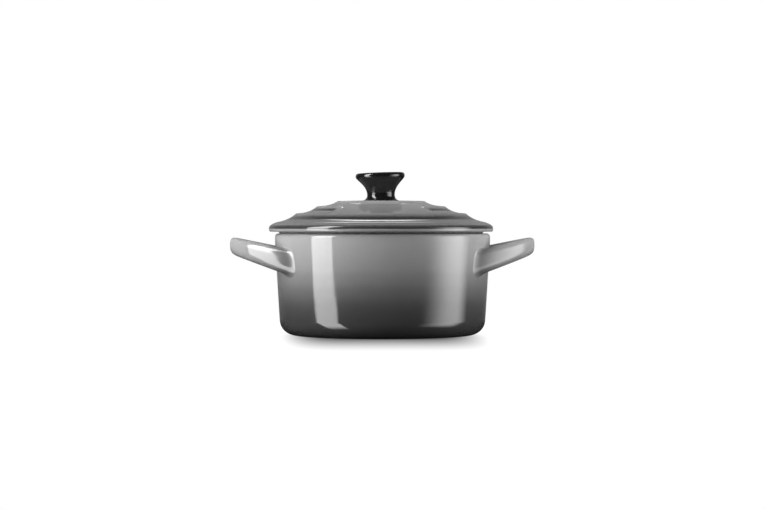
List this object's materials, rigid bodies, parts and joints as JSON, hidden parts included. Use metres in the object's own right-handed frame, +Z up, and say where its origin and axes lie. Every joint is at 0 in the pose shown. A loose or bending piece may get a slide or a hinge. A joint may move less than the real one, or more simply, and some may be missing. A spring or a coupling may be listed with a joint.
{
  "type": "mini cocotte",
  "caption": "Small round glazed stoneware cocotte with loop handles on its sides and a terraced lid that lifts off by a black knob.",
  "frame": {"origin": "centre of the standing ring, on the surface that the pot stands on", "axes": "+Z up along the pot's axis; +X through the right-hand handle; the lid's plain panel faces -Y"},
  "size_m": [0.1422, 0.1046, 0.0764],
  "materials": {
    "grey_glaze": "gloss",
    "black_glaze": "gloss"
  },
  "bodies": {
    "pot": {"pot_body": "grey_glaze", "left_handle": "grey_glaze", "right_handle": "grey_glaze"},
    "lid": {"lid": "grey_glaze", "knob": "black_glaze"}
  },
  "joints": [
    {"name": "lid_lift", "type": "slide", "parent": "pot", "child": "lid", "axis": [0, 0, 1], "range_m": [0, 0.08]}
  ]
}
